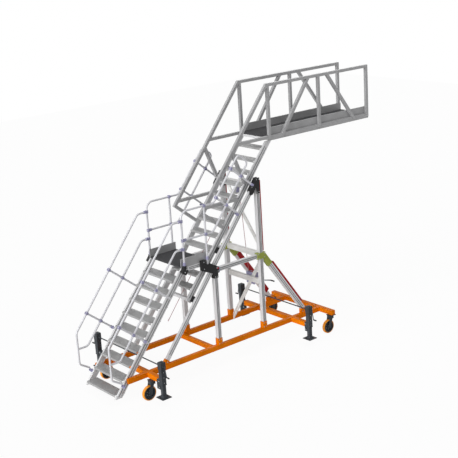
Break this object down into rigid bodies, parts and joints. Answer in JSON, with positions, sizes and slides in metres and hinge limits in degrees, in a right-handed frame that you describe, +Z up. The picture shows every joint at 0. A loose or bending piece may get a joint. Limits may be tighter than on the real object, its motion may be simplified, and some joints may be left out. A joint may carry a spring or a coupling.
{
  "type": "wing access stand",
  "caption": "Wheeled access stand with a fixed stair, a landing and a sliding stair that carries a cantilever walkway, with jacks and swivel casters.",
  "frame": {"origin": "centre of the footprint at floor level", "axes": "+X along the way a person climbs, towards the walkway's open end, +Y to the climber's left, +Z up"},
  "size_m": [7.289, 2.614, 5.537],
  "materials": {
    "orange_paint": "gloss",
    "aluminium_profile": "satin",
    "aluminium_frame": "satin",
    "tread_aluminium": "satin",
    "deck_plate": "matte",
    "handrail_tube": "satin",
    "cast_fitting": "satin",
    "black_bracket": "matte",
    "green_joint": "satin",
    "red_guard": "satin",
    "pale_steel": "satin",
    "jack_paint": "satin",
    "sheave_nylon": "matte",
    "rope_steel": "satin",
    "zinc_steel": "satin",
    "hub_dark": "matte",
    "orange_tyre": "matte"
  },
  "bodies": {
    "chassis": {"chassis_rails": "orange_paint", "cross_beams": "orange_paint", "sockets": "orange_paint", "mid_posts": "aluminium_profile", "rear_posts": "aluminium_profile", "guides": "aluminium_profile", "struts": "aluminium_profile", "rear_braces": "aluminium_profile", "fixed_stringers": "aluminium_profile", "landing_beams": "aluminium_frame", "landing_toe_boards": "aluminium_frame", "fixed_treads": "tread_aluminium", "landing_deck": "deck_plate", "stair_handrails": "handrail_tube", "landing_handrails": "handrail_tube", "handrail_clamps": "cast_fitting", "sheave_bracket": "cast_fitting", "winch_frame": "cast_fitting", "winch_drum": "cast_fitting", "mid_brackets": "black_bracket", "landing_brackets": "black_bracket", "top_brackets": "black_bracket", "post_joints": "green_joint", "guard_strips": "red_guard", "rear_crosses": "pale_steel", "rear_diagonals": "pale_steel", "jack_bodies": "jack_paint", "jack_brackets": "jack_paint", "jack_shafts": "jack_paint", "winch_crank": "jack_paint", "jack_cranks": "jack_paint", "sheave": "sheave_nylon", "rope": "rope_steel", "caster_plates": "zinc_steel"},
    "walkway": {"sliding_stringers": "aluminium_profile", "sliding_treads": "tread_aluminium", "sliding_foot_bar": "aluminium_frame", "slider_blocks": "black_bracket", "walkway_side_frames": "aluminium_frame", "walkway_deck": "deck_plate", "walkway_toe_boards": "aluminium_frame", "walkway_crosses": "aluminium_frame"},
    "jack_front_right": {"jack_leg_front_right": "jack_paint"},
    "fork_front_right": {"caster_fork_front_right": "zinc_steel"},
    "wheel_front_right": {"wheel_hub_front_right": "hub_dark", "tyre_front_right": "orange_tyre"},
    "jack_front_left": {"jack_leg_front_left": "jack_paint"},
    "fork_front_left": {"caster_fork_front_left": "zinc_steel"},
    "wheel_front_left": {"wheel_hub_front_left": "hub_dark", "tyre_front_left": "orange_tyre"},
    "jack_rear_right": {"jack_leg_rear_right": "jack_paint"},
    "fork_rear_right": {"caster_fork_rear_right": "zinc_steel"},
    "wheel_rear_right": {"wheel_hub_rear_right": "hub_dark", "tyre_rear_right": "orange_tyre"},
    "jack_rear_left": {"jack_leg_rear_left": "jack_paint"},
    "fork_rear_left": {"caster_fork_rear_left": "zinc_steel"},
    "wheel_rear_left": {"wheel_hub_rear_left": "hub_dark", "tyre_rear_left": "orange_tyre"}
  },
  "joints": [
    {"name": "walkway_slide", "type": "slide", "parent": "chassis", "child": "walkway", "axis": [0.6341, 0, 0.7733], "range_m": [-0.5, 0.7]},
    {"name": "jack_front_right_lift", "type": "slide", "parent": "chassis", "child": "jack_front_right", "axis": [0, 0, -1], "range_m": [0, 0.2]},
    {"name": "fork_front_right_swivel", "type": "hinge", "parent": "chassis", "child": "fork_front_right", "pos_m": [-2.8245, -0.725, 0.381], "axis": [0, 0, 1], "continuous": true},
    {"name": "wheel_front_right_spin", "type": "hinge", "parent": "fork_front_right", "child": "wheel_front_right", "pos_m": [-2.9245, -0.725, 0.15], "axis": [0, 1, 0], "continuous": true},
    {"name": "jack_front_left_lift", "type": "slide", "parent": "chassis", "child": "jack_front_left", "axis": [0, 0, -1], "range_m": [0, 0.2]},
    {"name": "fork_front_left_swivel", "type": "hinge", "parent": "chassis", "child": "fork_front_left", "pos_m": [-2.8245, 0.725, 0.381], "axis": [0, 0, 1], "continuous": true},
    {"name": "wheel_front_left_spin", "type": "hinge", "parent": "fork_front_left", "child": "wheel_front_left", "pos_m": [-2.9245, 0.725, 0.15], "axis": [0, 1, 0], "continuous": true},
    {"name": "jack_rear_right_lift", "type": "slide", "parent": "chassis", "child": "jack_rear_right", "axis": [0, 0, -1], "range_m": [0, 0.2]},
    {"name": "fork_rear_right_swivel", "type": "hinge", "parent": "chassis", "child": "fork_rear_right", "pos_m": [1.8405, -0.9, 0.381], "axis": [0, 0, 1], "continuous": true},
    {"name": "wheel_rear_right_spin", "type": "hinge", "parent": "fork_rear_right", "child": "wheel_rear_right", "pos_m": [1.7405, -0.9, 0.15], "axis": [0, 1, 0], "continuous": true},
    {"name": "jack_rear_left_lift", "type": "slide", "parent": "chassis", "child": "jack_rear_left", "axis": [0, 0, -1], "range_m": [0, 0.2]},
    {"name": "fork_rear_left_swivel", "type": "hinge", "parent": "chassis", "child": "fork_rear_left", "pos_m": [1.8405, 0.9, 0.381], "axis": [0, 0, 1], "continuous": true},
    {"name": "wheel_rear_left_spin", "type": "hinge", "parent": "fork_rear_left", "child": "wheel_rear_left", "pos_m": [1.7405, 0.9, 0.15], "axis": [0, 1, 0], "continuous": true}
  ],
  "couplings": [
    {"joint": "jack_front_left_lift", "follows": "jack_front_right_lift", "ratio": 1},
    {"joint": "jack_rear_left_lift", "follows": "jack_rear_right_lift", "ratio": 1}
  ]
}
